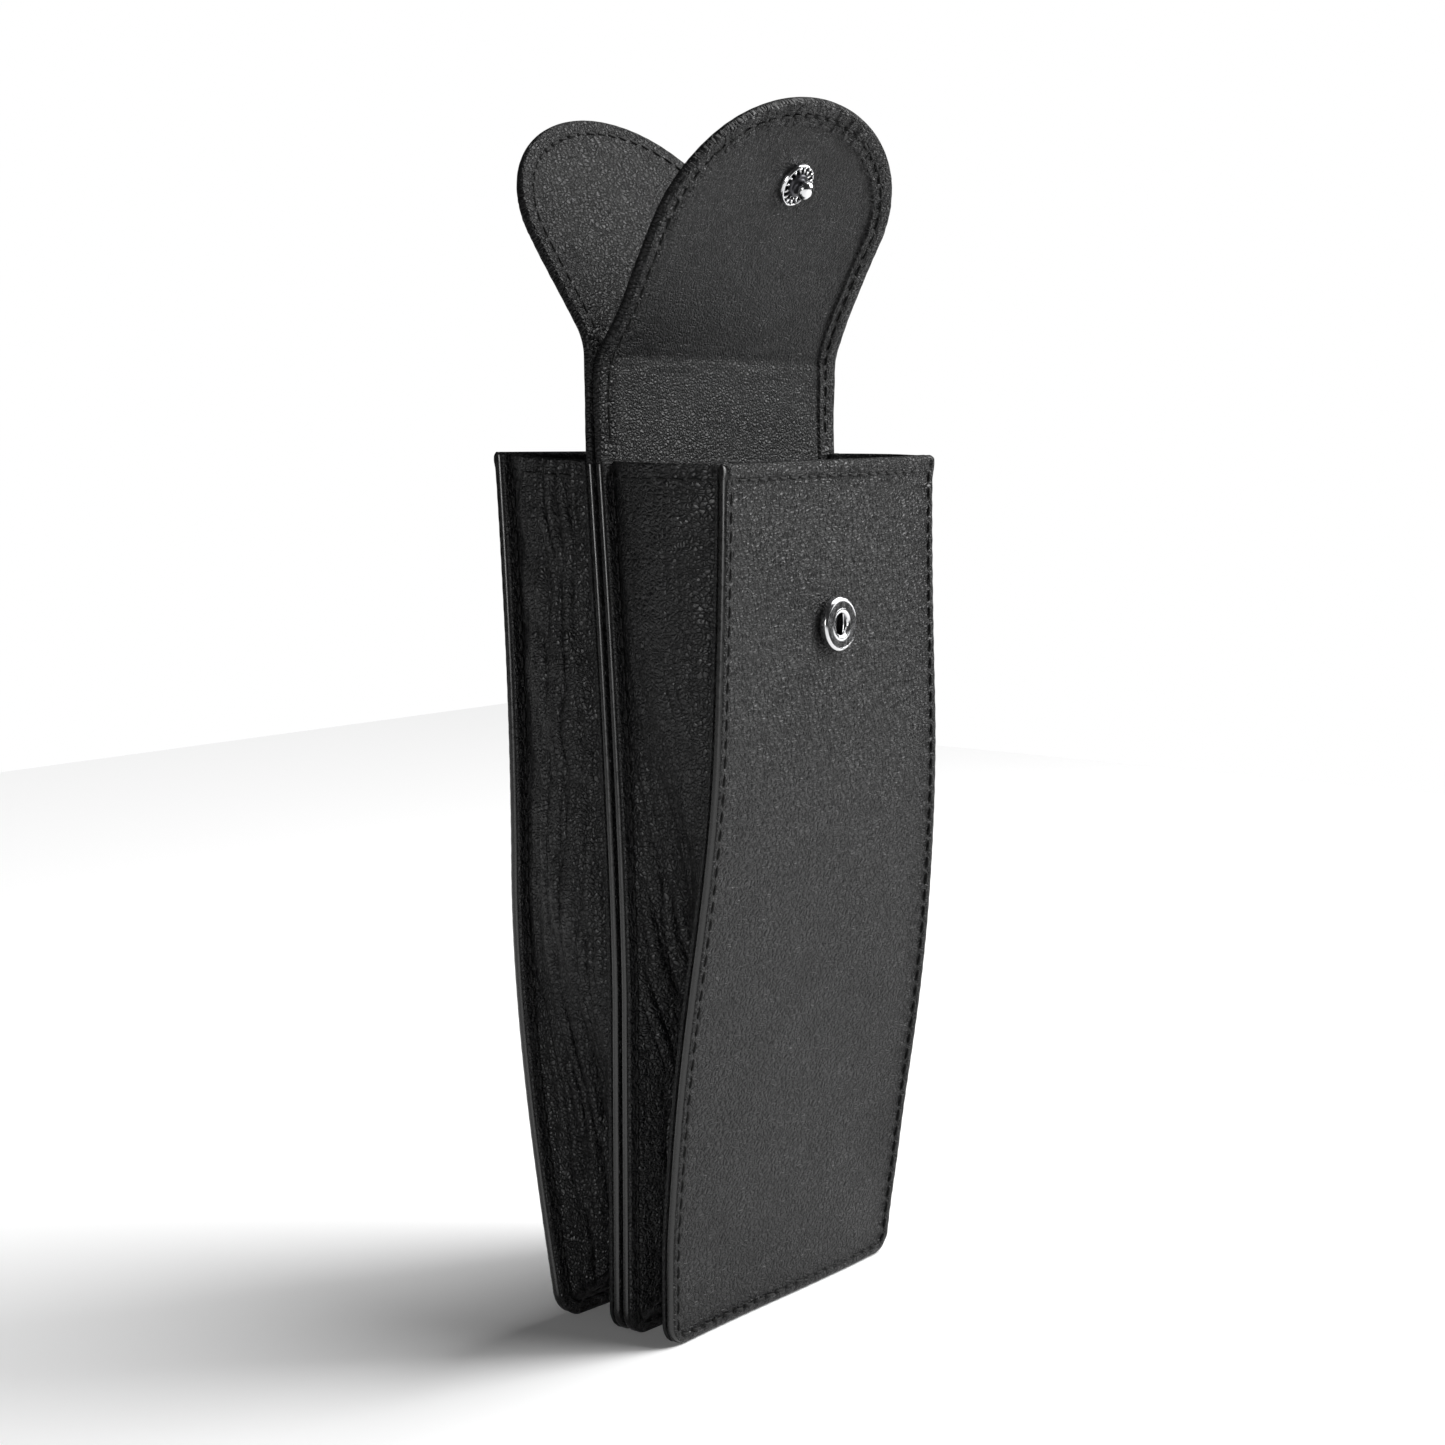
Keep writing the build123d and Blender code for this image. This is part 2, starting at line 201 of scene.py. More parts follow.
def flap_path(side):
    """Y and Z of the flap's middle line, in steps short enough to look up."""
    v = np.linspace(0, FLAP_TOTAL + 1, 784)
    lean = flap_lean(side, v)
    mean, step = (lean[1:] + lean[:-1]) / 2, v[1] - v[0]
    y = np.concatenate([[0], np.cumsum(side * np.sin(mean) * step)])
    z = np.concatenate([[0], np.cumsum(np.cos(mean) * step)])
    return v, y + spine(HEIGHT) + side * SKIN_MIDDLE, z + HEIGHT


PATHS = {side: flap_path(side) for side in (FRONT, REAR)}


def skin_line(side, v):
    """(Y, Z, lean) of the back leather's middle: v is 0 at the mouth, negative down the back wall."""
    vs, ys, zs = PATHS[side]
    below = HEIGHT + np.minimum(v, 0.0)
    y = np.where(v < 0, spine(below) + side * SKIN_MIDDLE, np.interp(v, vs, ys))
    z = np.where(v < 0, below, np.interp(v, vs, zs))
    slope = (spine(below + 0.5) - spine(below - 0.5)) * side
    settle = ease((v + 8) / 10)
    lean = np.arctan(slope) * (1 - settle) + flap_lean(side, np.maximum(v, 0.0)) * settle
    return y, z, lean


def skin_surface(side, x, v):
    """Middle of the back and flap leather, and the normal on the mouth side."""
    y, z, lean = skin_line(side, v)
    w = np.maximum(v - FLAP_BASE, 0.0)
    across = x / FLAP_HALF[side]
    bow, twist, shift = BOW_TWIST_SHIFT[side]
    off = bow * across**2 * ease(w / 34) + twist * across * ease(w / 44)
    soft = 0.3 * noise(x / 22 + 9, v / 24, seed=side + 11) * ease((v - 4) / 10)
    shift = SIDE_SHIFT + (shift - SIDE_SHIFT) * ease(w / 44)
    normal = stack(np.zeros_like(x), side * np.cos(lean), -np.sin(lean))
    point = stack(x + shift, y, z) + normal * (off + soft)[..., None]
    return point, normal


def skin_thickness(v):
    return SKIN + HEM_GAIN * ease((v - SPLIT - 1) / 8)


# --- meshes


def weld(points):
    """Index of the first point at each place, for points that meet."""
    keys = np.round(np.asarray(points) / 0.001).astype(np.int64)
    _, first, back = np.unique(keys, axis=0, return_index=True, return_inverse=True)
    return first, back.ravel()


def add_object(name, data):
    thing = bpy.data.objects.new(name, data)
    bpy.context.scene.collection.objects.link(thing)
    return thing


def make_object(name, points, faces, coords, materials, kinds=None, flat_from=None, normals=None):
    """Mesh object from points and texture places in mm. Faces from flat_from on are flat shaded."""
    first, back = weld(points)
    kept, places, groups, flats = [], [], [], []
    for n, face in enumerate(faces):
        ring = [(int(back[i]), i) for i in face]
        ring = [pair for k, pair in enumerate(ring) if pair[0] != ring[k - 1][0]]
        if len({pair[0] for pair in ring}) < max(3, len(ring)):
            continue
        kept.append([pair[0] for pair in ring])
        places += [coords[pair[1]] for pair in ring]
        groups.append(kinds[n] if kinds else 0)
        flats.append(flat_from is not None and n >= flat_from)
    used, order = np.unique([i for face in kept for i in face], return_inverse=True)
    mesh = bpy.data.meshes.new(name)
    sizes = np.cumsum([0] + [len(face) for face in kept])
    order = order.ravel().tolist()
    faces = [order[a:b] for a, b in zip(sizes, sizes[1:])]
    mesh.from_pydata((np.asarray(points)[first[used]] * MM).tolist(), [], faces)
    layer = mesh.uv_layers.new(name="UVMap")
    layer.data.foreach_set("uv", (np.asarray(places, float) * MM).ravel().astype(np.float32))
    for material in materials:
        mesh.materials.append(material)
    mesh.polygons.foreach_set("material_index", np.asarray(groups, np.int32))
    mesh.polygons.foreach_set("use_smooth", ~np.asarray(flats, bool))
    work = bmesh.new()
    work.from_mesh(mesh)
    if flat_from is None:
        bmesh.ops.recalc_face_normals(work, faces=work.faces)
    elif work.calc_volume(signed=True) < 0:
        bmesh.ops.reverse_faces(work, faces=work.faces)
    work.to_mesh(mesh)
    work.free()
    if normals is not None:
        summed = np.zeros((len(first), 3))
        np.add.at(summed, back, np.asarray(normals))
        mesh.normals_split_custom_set_from_vertices(unit(summed)[used].tolist())
    mesh.update()
    return add_object(name, mesh)


def grid_faces(rows, columns, start=0, flip=False):
    i, j = np.meshgrid(np.arange(rows - 1), np.arange(columns - 1), indexing="ij")
    a = start + i * columns + j
    quads = stack(a, a + columns, a + columns + 1, a + 1).reshape(-1, 4)
    return (quads[:, ::-1] if flip else quads).tolist()


def ring_faces(rings, sides, start=0):
    """Faces between rings of points."""
    faces = []
    for r in range(rings - 1):
        for s in range(sides):
            a, b = start + r * sides + s, start + r * sides + (s + 1) % sides
            faces.append([a, b, b + sides, a + sides])
    return faces


def cap_rows(top, under, row, way):
    """Corners of a sheet's flat end, a hair inside it to stay apart from its smooth faces."""
    inside = row - way
    return [sheet[row] + unit(sheet[inside] - sheet[row]) * CAP_GAP for sheet in (top, under)]


def thick_sheet(name, faces_of, coords, materials, outer_kinds=None, normals=None):
    """Closed sheet between an outer and an inner grid of points that meet at the free edges.

    Open rows at either end are closed with flat faces. The inner side takes the second material, and
    the third wherever the outer side has it.
    """
    top, under = faces_of
    rows, columns = top.shape[:2]
    faces = grid_faces(rows, columns)
    kinds = [0] * len(faces) if outer_kinds is None else outer_kinds[:-1, :-1].ravel().tolist()
    kinds += [max(kind, 1) for kind in kinds]
    faces += grid_faces(rows, columns, rows * columns, flip=True)
    flat_from = len(faces)
    for n, row in enumerate((0, rows - 1)):
        first = (2 * rows + 2 * n) * columns
        for j in range(first, first + columns - 1):
            ring = [j, j + 1, j + 1 + columns, j + columns]
            faces.append(ring[::-1] if row else ring)
            kinds.append(0)
    caps = [end for row, way in ((0, -1), (rows - 1, 1)) for end in cap_rows(top, under, row, way)]
    points = np.concatenate([top.reshape(-1, 3), under.reshape(-1, 3), *caps])
    flat = coords.reshape(-1, 2)
    edges = [coords[row] for row in (0, 0, rows - 1, rows - 1)]
    places = np.concatenate([flat, flat + [400.0, 0.0], *edges])
    if normals is not None:
        out, into = normals
        edges = [out[0], into[0], out[-1], into[-1]]
        normals = np.concatenate([out.reshape(-1, 3), into.reshape(-1, 3), *edges])
    return make_object(name, points, faces, places, materials, kinds, flat_from, normals)


def both_faces(middle, normal, outer, inner):
    return middle + normal * outer[..., None], middle - normal * inner[..., None]


def tubes(name, centres, along, normals):
    """Stitches: short threads that come out of one hole and go into the next."""
    rings, sides = 9, 7
    u = np.linspace(-1, 1, rings)
    lift = 0.16 - 0.5 * np.abs(u) ** 5
    radius = THREAD * (1 - 0.35 * u**4)
    turn = 2 * math.pi * np.arange(sides) / sides
    across = unit(np.cross(along, normals))
    wobble = noise(np.arange(len(centres)) * 0.91, 0.5, seed=17)
    direction = unit(along + across * (0.05 + 0.05 * wobble)[:, None])
    across = unit(np.cross(direction, normals))
    reach = u * STITCH_LENGTH / 2
    line = centres[:, None] + direction[:, None] * reach[:, None] + normals[:, None] * lift[:, None]
    wide = (radius[:, None] * np.cos(turn) * 1.15)[..., None]
    high = (radius[:, None] * np.sin(turn))[..., None]
    ring = across[:, None, None] * wide + normals[:, None, None] * high
    points = (line[:, :, None] + ring).reshape(-1, 3)
    faces = []
    for n in range(len(centres)):
        base = n * rings * sides
        faces += ring_faces(rings, sides, base)
        faces.append([base + s for s in range(sides)][::-1])
        faces.append([base + (rings - 1) * sides + s for s in range(sides)])
    length = np.repeat(np.tile(reach, len(centres)), sides)
    around = np.tile(turn * THREAD, len(centres) * rings)
    offset = np.repeat(np.arange(len(centres)) * STITCH_PITCH, rings * sides)
    return make_object(name, points, faces, stack(length + offset, around), [THREAD_BLACK])


def seam(side, label, line, normals, body, *nodes):
    """A row of stitches on a line of surface points, with its body and the solids it stands for."""
    arc = arc_length(line)
    at = np.arange(STITCH_PITCH / 2, arc[-1] - STITCH_PITCH * 0.4, STITCH_PITCH)
    pick = lambda values, where: stack(*[np.interp(where, arc, values[:, n]) for n in range(3)])
    along = unit(pick(line, at + 0.8) - pick(line, at - 0.8))
    row = tubes(f"{NAMES[side]}_{label}", pick(line, at), along, unit(pick(normals, at)))
    finish_piece(row, side, body, "thread", *nodes)


# --- sheet outlines

# Distances from a sheet's edge at which it has points.
RIM_STEPS = [0, 0.06, 0.2, 0.42, 0.7, 1.05]
HEM_STEPS = [4.8, 5.2, 5.5, 5.8, 6.2, 6.9]
NEAR = np.concatenate([RIM_STEPS, np.arange(1.4, 4.5, 0.25), HEM_STEPS])
FAR = np.linspace(0, 1, 37)[1:]  # shares of the rest of the way to the middle
OPEN_ROWS = np.array([0, 0.07, 0.22, 0.45, 0.75, 1.15, 1.6, 2.1, 2.6, 2.9, 3.2, 3.5, 3.9, 4.5])


def side_rows(start, end, pitch=0.8):
    """Places down a straight side, closer together at its open end."""
    rest = np.linspace(start + OPEN_ROWS[-1], end, int((end - start - OPEN_ROWS[-1]) / pitch) + 2)[1:]
    return np.concatenate([start + OPEN_ROWS, rest])


def mirrored(points):
    """A left-hand half outline followed by its mirror image back to the open end."""
    return np.concatenate([points, (points * [-1, 1])[::-1]])


def inward_from(tangent):
    """Directions into a sheet from its outline, whose first point is on the left."""
    inward = stack(-tangent[:, 1], tangent[:, 0])
    return -inward if inward[0, 0] < 0 else inward


def u_sheet(left_outline, left_target, left_reach):
    """Grid over a sheet with one open end. Returns x, w, distance from the outline and length along it.

    Each row runs straight in from the outline as far as its reach, then to its target on the middle line.
    """
    outline, target = mirrored(left_outline), mirrored(left_target)
    reach = np.concatenate([left_reach, left_reach[::-1]])[:, None]
    steps = unit(np.diff(outline, axis=0))
    tangent = unit(np.concatenate([steps[:1], steps[1:] + steps[:-1], steps[-1:]]))
    inward = inward_from(tangent)
    turn = outline + inward * reach
    way = unit(target - turn)
    along = np.minimum(NEAR[None, :], reach)
    beyond = np.maximum(NEAR[None, :] - reach, 0.0)
    near = outline[:, None] + inward[:, None] * along[..., None] + way[:, None] * beyond[..., None]
    last = near[:, -1]
    far = last[:, None] + (target - last)[:, None] * FAR[None, :, None]
    grid = np.concatenate([near, far], 1)
    left = np.linalg.norm(target - last, axis=1)
    distance = np.concatenate([np.tile(NEAR, (len(outline), 1)), NEAR[-1] + left[:, None] * FAR], 1)
    arc = np.repeat(arc_length(outline)[:, None], grid.shape[1], 1)
    return grid[..., 0], grid[..., 1], distance, arc


def panel_outline(height):
    """Left half of a pouch wall: w runs down from the mouth, with a round bottom corner."""
    end = height - CORNER
    rows = side_rows(0.0, end)
    turn = np.linspace(0, math.pi / 2, 22)[1:]
    arc_x = -HALF_WIDTH + CORNER - CORNER * np.cos(turn)
    arc_w = end + CORNER * np.sin(turn)
    bottom = np.linspace(-HALF_WIDTH + CORNER, 0, 44)[1:-1]
    outline = np.concatenate([
        stack(np.full_like(rows, -HALF_WIDTH), rows),
        stack(arc_x, arc_w),
        stack(bottom, np.full_like(bottom, height)),
    ])
    fan = height - 66.0  # below this the rows fan out to the bottom edge
    squeezed = np.where(rows < fan, rows, fan + (rows - fan) * 28.0 / (end - fan))
    ends = np.full(len(turn) + len(bottom), fan + 30.0)
    target = stack(np.zeros(len(outline)), np.concatenate([squeezed, ends]))
    from_corner = np.concatenate([end - rows, np.zeros(len(turn)), bottom + HALF_WIDTH - CORNER])
    reach = 0.8 * CORNER + (NEAR[-1] - 0.8 * CORNER) * ease(from_corner / 16)
    return outline, target, reach


def edge_round(distance, radius):
    """Share of full thickness near a rounded edge."""
    t = np.clip(distance / radius, 0, 1)
    return np.sqrt(np.maximum(0.0, 1 - (1 - t) ** 2))


def sewn(distance, arc, seam_at, depth=0.3):
    """Groove pressed by a row of stitches, deepest at the holes between them."""
    holes = 0.55 + 0.45 * np.cos(2 * math.pi * arc / STITCH_PITCH)
    return -depth * bump_at(distance, seam_at, 0.45) * holes


def turned_edge(distance, arc, seam_at, rise=0.16):
    """Puffed leather between an edge and its seam, pulled in a little at every hole."""
    scallop = 0.72 - 0.28 * np.cos(2 * math.pi * arc / STITCH_PITCH)
    inside = np.clip(distance / seam_at, 0, 1)
    return rise * np.sin(math.pi * inside) ** 0.8 * scallop


# --- materials


def grey(level):
    return (level, level, level)


def shader(name, base, roughness, **inputs):
    """New material, its node tree and its shader, with the values of the shader's sockets."""
    material = bpy.data.materials.new(name)
    material.use_nodes = True
    tree = material.node_tree
    principled = tree.nodes["Principled BSDF"]
    principled.inputs["Base Color"].default_value = (*base, 1)
    principled.inputs["Roughness"].default_value = roughness
    for key, value in inputs.items():
        principled.inputs[key.replace("_", " ")].default_value = value
    return material, tree, principled


def node(tree, kind, **settings):
    """New node with its own settings and the values of its sockets."""
    made = tree.nodes.new("ShaderNode" + kind)
    for key, value in settings.items():
        if hasattr(made, key):
            setattr(made, key, value)
        else:
            made.inputs[key.replace("_", " ")].default_value = value
    return made


def texture(tree, kind, vector, **settings):
    """New node that reads its place from a vector."""
    made = node(tree, kind, **settings)
    tree.links.new(vector, made.inputs["Vector"])
    return made


def relief(tree, principled, height, strength, distance):
    """Fine relief on a shader's surface, distance in metres."""
    bump = node(tree, "Bump", Strength=strength, Distance=distance)
    tree.links.new(height, bump.inputs["Height"])
    tree.links.new(bump.outputs[0], principled.inputs["Normal"])


def maths(tree, operation, a, b):
    made = node(tree, "Math", operation=operation)
    for socket, value in zip(made.inputs, (a, b)):
        if isinstance(value, (int, float)):
            socket.default_value = value
        else:
            tree.links.new(value, socket)
    return made.outputs[0]


def remap(tree, value, low, high, to_low, to_high):
    ends = {"From_Min": low, "From_Max": high, "To_Min": to_low, "To_Max": to_high}
    made = node(tree, "MapRange", **ends)
    tree.links.new(value, made.inputs["Value"])
    return made.outputs["Result"]


def leather(name, dark, light, roughness, shine=0.22, cell=0.9, wide=1.0, grain=1.0, creases=1.0):
    """Soft nappa: rounded grain cells parted by fine cracks, faint long creases, worn sheen.

    cell is the grain's size in mm, and wide how much longer than high its cells are. The base colour is
    painted shade in the cracks, and a tone that varies at random over the cells.
    """
    material, tree, principled = shader(name, dark, roughness, Specular_IOR_Level=shine)
    uv = node(tree, "TexCoord").outputs["UV"]
    stretch = (1000 / wide, 1000, 1000)
    squash = texture(tree, "Mapping", uv, Scale=stretch).outputs[0]
    drift = texture(tree, "TexNoise", squash, Scale=0.45, Detail=2.0)
    bent = node(tree, "MixRGB", blend_type="ADD", Fac=1.0)
    pull = node(tree, "VectorMath", operation="SCALE", Scale=1.4)
    tree.links.new(drift.outputs["Color"], pull.inputs[0])
    tree.links.new(squash, bent.inputs["Color1"])
    tree.links.new(pull.outputs[0], bent.inputs["Color2"])
    bent = bent.outputs[0]
    cells = texture(tree, "TexVoronoi", bent, feature="DISTANCE_TO_EDGE", Scale=1.0 / cell)
    crack = remap(tree, cells.outputs["Distance"], 0.0, 0.11, 0.0, 1.0)
    dome = remap(tree, cells.outputs["Distance"], 0.05, 0.4, 0.0, 1.0)
    fine = texture(tree, "TexNoise", bent, Scale=2.4, Detail=3.0)
    broad = texture(tree, "TexNoise", squash, Scale=0.12, Detail=4.0, Roughness=0.6)
    broad = broad.outputs["Fac"]
    crease = texture(tree, "TexNoise", squash, Scale=0.42, Detail=3.0, Distortion=1.4)
    fold = maths(tree, "ABSOLUTE", maths(tree, "SUBTRACT", crease.outputs["Fac"], 0.5), 0)
    line = remap(tree, fold, 0.0, 0.05, 0.0, 1.0)
    height = maths(tree, "MULTIPLY", crack, 0.9 * grain)
    layers = (
        (dome, 0.7 * grain),
        (fine.outputs["Fac"], 0.35 * grain),
        (line, 0.5 * creases),
        (broad, 1.5),
    )
    for value, amount in layers:
        height = maths(tree, "ADD", height, maths(tree, "MULTIPLY", value, amount))
    relief(tree, principled, height, 1.0, 0.00016)
    worn = remap(tree, broad, 0.3, 0.7, 0.5, 1.0)
    # Base colour: painted shade makes the grain cracks darker than the cell tops, and broad noise varies
    # the tone of the cells at random.
    tone_and_crack_shade = node(tree, "MixRGB", Color1=(*dark, 1), Color2=(*light, 1))
    tree.links.new(maths(tree, "MULTIPLY", crack, worn), tone_and_crack_shade.inputs["Fac"])
    tree.links.new(tone_and_crack_shade.outputs[0], principled.inputs["Base Color"])
    rough = remap(tree, broad, 0.3, 0.7, roughness + 0.06, roughness - 0.06)
    rough = maths(tree, "SUBTRACT", rough, maths(tree, "MULTIPLY", dome, 0.08))
    tree.links.new(rough, principled.inputs["Roughness"])
    return material


def thread_material():
    """Waxed twisted thread."""
    material, tree, principled = shader("thread", grey(0.003), 0.6, Specular_IOR_Level=0.25)
    uv = node(tree, "TexCoord").outputs["UV"]
    twist = texture(
        tree, "Mapping", uv, Scale=(1000, 1000, 1000), Rotation=(0, 0, math.radians(52)),
    )
    plies = texture(tree, "TexWave", twist.outputs[0], Scale=0.9, Distortion=0.4)
    relief(tree, principled, plies.outputs["Fac"], 0.8, 0.00008)
    return material


def uneven_gloss(tree, principled, scale, detail, smooth, rough):
    """Roughness that varies between two values over an object. Returns the marks behind it."""
    place = node(tree, "TexCoord").outputs["Object"]
    marks = texture(tree, "TexNoise", place, Scale=scale, Detail=detail)
    spread = remap(tree, marks.outputs["Fac"], 0.3, 0.7, smooth, rough)
    tree.links.new(spread, principled.inputs["Roughness"])
    return marks.outputs["Fac"]


def metal(name, base, roughness):
    """Plated metal with faint polishing marks."""
    material, tree, principled = shader(name, base, roughness, Metallic=1.0)
    marks = uneven_gloss(tree, principled, 1800.0, 4.0, roughness - 0.05, roughness + 0.08)
    relief(tree, principled, marks, 0.15, 0.00003)
    return material


def burnished():
    """Rubbed and lacquered cut edge of the leather."""
    made = shader("burnished_edge", grey(0.004), 0.25, Specular_IOR_Level=0.6)
    uneven_gloss(*made[1:], 900.0, 2.0, 0.2, 0.36)
    return made[0]


# BLACK and DEEP_BLACK also paint shade into the leathers' grain cracks; WORN and SOFT_BLACK are the tones
# of the cell tops.
BLACK, WORN = grey(0.002), (0.007, 0.007, 0.0075)
DEEP_BLACK, SOFT_BLACK = grey(0.001), (0.003, 0.003, 0.0035)
WALL_LEATHER = leather("wall_leather", BLACK, WORN, 0.4, wide=1.5)
SKIN_LEATHER = leather("flap_leather", BLACK, WORN, 0.4, wide=1.3)
GUSSET_LEATHER = leather(
    "gusset_leather", DEEP_BLACK, SOFT_BLACK, 0.42, shine=0.42, grain=0.8, creases=1.4,
)
LINING = leather("lining", BLACK, WORN, 0.42, cell=0.75, grain=0.6, creases=0.4)
THREAD_BLACK = thread_material()
EDGE = burnished()
NICKEL = metal("nickel", (0.6, 0.6, 0.61), 0.16)
DARK_METAL = metal("dark_metal", (0.05, 0.05, 0.055), 0.35)


# --- pouch walls


def wall(side):
    """Outer wall of a pouch: turned edge and seam round it, hem and seam across its mouth."""
    name = NAMES[side]
    x, w, distance, arc = u_sheet(*panel_outline(HEIGHT))
    z = HEIGHT - w
    middle, normal = wall_surface(side, x, z)
    full = edge_round(distance, 0.9) * edge_round(w, 0.9)
    inside_hem = ease((w - MOUTH_SEAM) / 0.8) * ease((distance - EDGE_SEAM) / 0.8)
    grooves = sewn(distance, arc, EDGE_SEAM, 0.32)
    grooves = grooves + sewn(w, x, MOUTH_SEAM, 0.26) * ease((distance - EDGE_SEAM) / 1.5)
    puffs = turned_edge(distance, arc, EDGE_SEAM, 0.2) + turned_edge(w, x, MOUTH_SEAM, 0.14)
    gathers = 0.07 * creased(x / 1.3, w / 7, seed=31) * bump_at(w, 1.9, 1.9)
    pulls = 0.06 * noise(x / 2.3, w / 12, seed=33) * bump_at(w, 5.0, 6.0)
    corners = 0.4 * bump_at(distance, 1.3, 1.3) * bump_at(w, 1.6, 2.2)
    outer = full * (WALL / 2 + puffs + gathers + pulls + corners - 0.16 * inside_hem)
    outer = outer + grooves * (full > 0.5)
    outer = outer - 0.22 * bump_at(np.hypot(x, z - SOCKET_Z), 5.6, 1.6)
    inner = full * (WALL / 2 - 0.25 * inside_hem)
    coords = stack(x, z)
    kinds = np.where(distance < CUT_EDGE, 2, 0)
    sheets = both_faces(middle, normal, outer, inner)
    sheet = thick_sheet(f"{name}_wall", sheets, coords, [WALL_LEATHER, LINING, EDGE], kinds)
    finish_piece(sheet, side, f"{name}_wall", "leather", "panel_leather", "panel_board", "panel_lining")
    add_wall_seams(side)


def wall_line(inset):
    """X and Z along a wall's edge, at an inset from it."""
    radius = CORNER - inset
    half = HALF_WIDTH - inset
    down = np.linspace(HEIGHT - 1.2, inset + radius, 200)
    turn = np.linspace(0, math.pi / 2, 20)[1:]
    x = np.concatenate([np.full_like(down, -half), -half + radius - radius * np.cos(turn)])
    z = np.concatenate([down, inset + radius - radius * np.sin(turn)])
    return np.concatenate([x, -x[::-1]]), np.concatenate([z, z[::-1]])


def add_wall_seams(side):
    """Stitches on both faces along a wall's edge, and on the outside across its mouth."""
    body = f"{NAMES[side]}_wall"
    middle, normal = wall_surface(side, *wall_line(EDGE_SEAM))
    seam(side, "wall_seam", middle + normal * (WALL / 2 - 0.08), normal, body, "panel_seam")
    inside = middle - normal * (WALL / 2 + GUSSET + 0.1)
    seam(side, "wall_seam_under", inside, -normal, body)
    x = np.linspace(-HALF_WIDTH + 4.0, HALF_WIDTH - 4.0, 60)
    middle, normal = wall_surface(side, x, np.full_like(x, HEIGHT - MOUTH_SEAM))
    seam(side, "mouth_seam", middle + normal * (WALL / 2 - 0.08), normal, body, "mouth_seam")


def finish_piece(piece, side, body, slot, *nodes):
    """Hides the solids a piece stands for and attaches it to the one body it moves with; a piece given two
    bodies only has its transform baked. slot, its finish, is not used.
    """
    if nodes:
        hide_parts(*[f"{NAMES[side]}_{n}" for n in nodes])
    if isinstance(body, str):
        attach(piece, body)
    else:
        parent, child, start, end = body
        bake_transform(piece)
        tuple(start)
        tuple(end)


# --- back leather and flaps


def fold_span(side, low, high):
    """Start and end of a bend, as points of the flap's middle line in metres."""
    ends = []
    for v in (low, high):
        y, z, _ = skin_line(side, np.array(float(v)))
        ends.append((0.0, float(y) * MM, float(z) * MM))
    return ends


def skin_bodies(side, upper):
    """Bodies that the upper or lower leather of a flap bends between, and the ends of the bend."""
    name = NAMES[side]
    if upper:
        return (f"{name}_neck", f"{name}_tongue", *fold_span(side, CREASE[side] - 4.5, CREASE[side] + 6))
    return ("case_body", f"{name}_neck", *fold_span(side, -3.0, 5.0))


def crease_height(side, x, v):
    """Wrinkles pressed across the flap where it folds, deepest at its edges."""
    at = CREASE[side] + 0.9 * noise(x / 14, 0.5, seed=side + 41)
    sharp = -0.28 * bump_at(v, at, 1.3)
    ripples = creased(x / 15 + 2, v / 2.4, seed=side + 43) * bump_at(v, CREASE[side], 7.0)
    return (sharp + 0.2 * (0.35 + 0.65 * (x / HALF_WIDTH) ** 2) * ripples) * ease((v - SPLIT - 1) / 4)


def skin_profile(side, x, v, distance, arc):
    """Heights of the mouth side and the back of the leather over its middle surface."""
    thick = skin_thickness(v)
    full = edge_round(distance, 0.8)
    solid = full > 0.5
    lined = ease((distance - HEM + 0.3) / 0.5)
    flap = ease((v + 1) / 3)
    rim = turned_edge(distance, arc, FLAP_SEAM, 0.16) * flap
    folds = pleats(arc, v, side + 51) * ease(distance / 1.0) * (1 - lined)
    creases = crease_height(side, x, v) * ease((distance - 0.8) / 2)
    mouth = full * (thick / 2 - 0.5 * lined + folds + creases) + rim
    mouth = mouth + sewn(distance, arc, FLAP_SEAM, 0.36) * solid * flap
    mouth = mouth + 0.12 * bump_at(distance, 7.4, 1.2) * flap
    back = full * thick / 2 + rim - 0.7 * creases * solid
    back = back + sewn(distance, arc, FLAP_SEAM, 0.28) * solid * flap
    stud = np.hypot(x - STUD_X[side], v - STUD_UP)
    mouth = mouth - 0.25 * bump_at(stud, 5.2, 1.3)
    back = back - 0.18 * bump_at(stud, 6.0, 1.5) + 0.12 * ease((5.5 - stud) / 1.5)
    return mouth, back


def pleats(arc, v, seed):
    """Uneven gathers of the leather turned over a flap's edge, strongest round its end."""
    amount = 0.1 * ease((v - SPLIT - 1) / 5) + 0.16 * ease((v - 38) / 14)
    return amount * (0.6 * creased(arc / 1.5, 0.3, seed=seed) + 0.5 * noise(arc / 0.9, 0.8, seed=seed + 1))


def skin_sheet(name, side, outline, rise):
    """Leather with its hem and lining. The outline's w runs up from the split, or down if rise is -1."""
    x, w, distance, arc = u_sheet(*outline)
    v = SPLIT + rise * w
    middle, normal = skin_surface(side, x, v)
    sheets = both_faces(middle, normal, *skin_profile(side, x, v, distance, arc))
    kinds = np.where((distance < CUT_EDGE) & (v < 0), 2, distance < HEM)
    return thick_sheet(name, sheets, stack(x, v), [LINING, SKIN_LEATHER, EDGE], kinds)


def skins(side):
    """Back wall leather that goes on into the neck, and the rest of the flap."""
    name = NAMES[side]
    lower = skin_sheet(f"{name}_back", side, panel_outline(HEIGHT + SPLIT), -1)
    finish_piece(lower, side, skin_bodies(side, False), "leather", "back_leather", "back_lining")
    outline = tongue_outline(side)
    upper = skin_sheet(f"{name}_flap", side, outline, 1)
    finish_piece(
        upper, side, skin_bodies(side, True), "leather", "neck_leather", "neck_lining",
        "tongue_leather", "tongue_board", "tongue_lining", "stud_rivet",
    )
    flap_seams(side, outline[0])


